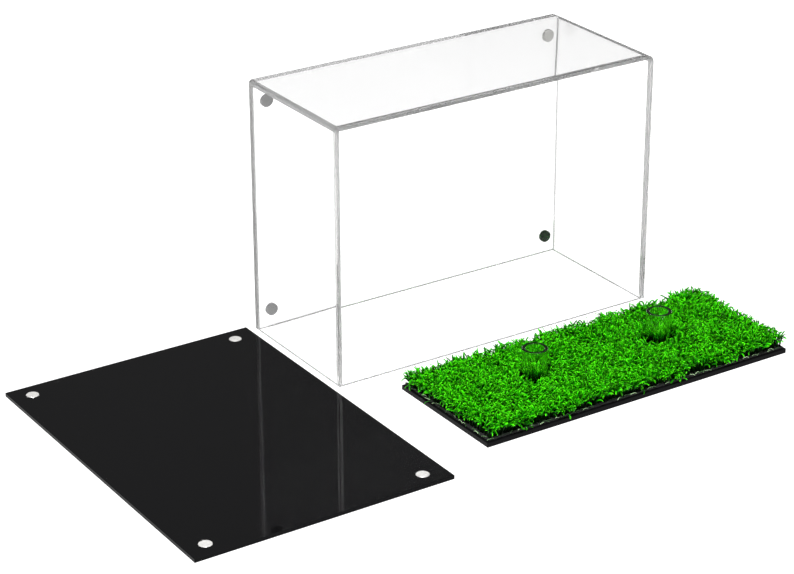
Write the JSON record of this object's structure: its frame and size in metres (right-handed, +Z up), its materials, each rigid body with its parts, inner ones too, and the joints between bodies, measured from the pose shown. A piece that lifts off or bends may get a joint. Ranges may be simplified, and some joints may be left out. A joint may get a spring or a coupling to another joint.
{
  "type": "football display case",
  "caption": "Clear box cover with an open bottom, a black back panel held by corner magnets, and a black base plate with a turf mat and two clear tube risers, laid out loose.",
  "frame": {"origin": "centre of the turf base plate's underside, on the surface that everything stands on", "axes": "+Z up; +X to the right along the case's width; -Y is the front. The back panel lies to the left and the cover stands behind the base."},
  "size_m": [0.8176, 0.4445, 0.3175],
  "materials": {
    "clear_acrylic": "clear cast acrylic sheet, polished edges",
    "clear_tube": "clear extruded acrylic tube",
    "black_acrylic": "mirror-gloss black acrylic sheet",
    "magnet_nickel": "nickel-plated disc magnet, lightly scuffed",
    "turf_fibre": "bright green synthetic grass yarn",
    "turf_backing": "black woven backing with stitch rows"
  },
  "bodies": {
    "base": {"base_plate": "black_acrylic", "turf_backing": "turf_backing", "turf_pile": "turf_fibre"},
    "cover": {"cover_bent_sheet": "clear_acrylic", "cover_left_wall": "clear_acrylic", "cover_front_wall": "clear_acrylic", "cover_back_wall": "clear_acrylic", "cover_magnet_lower_left": "magnet_nickel", "cover_magnet_lower_right": "magnet_nickel", "cover_magnet_upper_left": "magnet_nickel", "cover_magnet_upper_right": "magnet_nickel"},
    "back_panel": {"back_panel": "black_acrylic", "panel_magnet_lower_left": "magnet_nickel", "panel_magnet_lower_right": "magnet_nickel", "panel_magnet_upper_left": "magnet_nickel", "panel_magnet_upper_right": "magnet_nickel"},
    "riser_left": {"riser_left": "clear_tube"},
    "riser_right": {"riser_right": "clear_tube"}
  },
  "joints": [
    {"name": "cover_lift", "type": "slide", "parent": "base", "child": "cover", "axis": [0, 0, 1], "range_m": [0, 0.35]},
    {"name": "back_panel_lift", "type": "slide", "parent": "base", "child": "back_panel", "axis": [0, 0, 1], "range_m": [0, 0.32]},
    {"name": "riser_left_lift", "type": "slide", "parent": "base", "child": "riser_left", "axis": [0, 0, 1], "range_m": [0, 0.05]},
    {"name": "riser_right_lift", "type": "slide", "parent": "base", "child": "riser_right", "axis": [0, 0, 1], "range_m": [0, 0.05]}
  ]
}
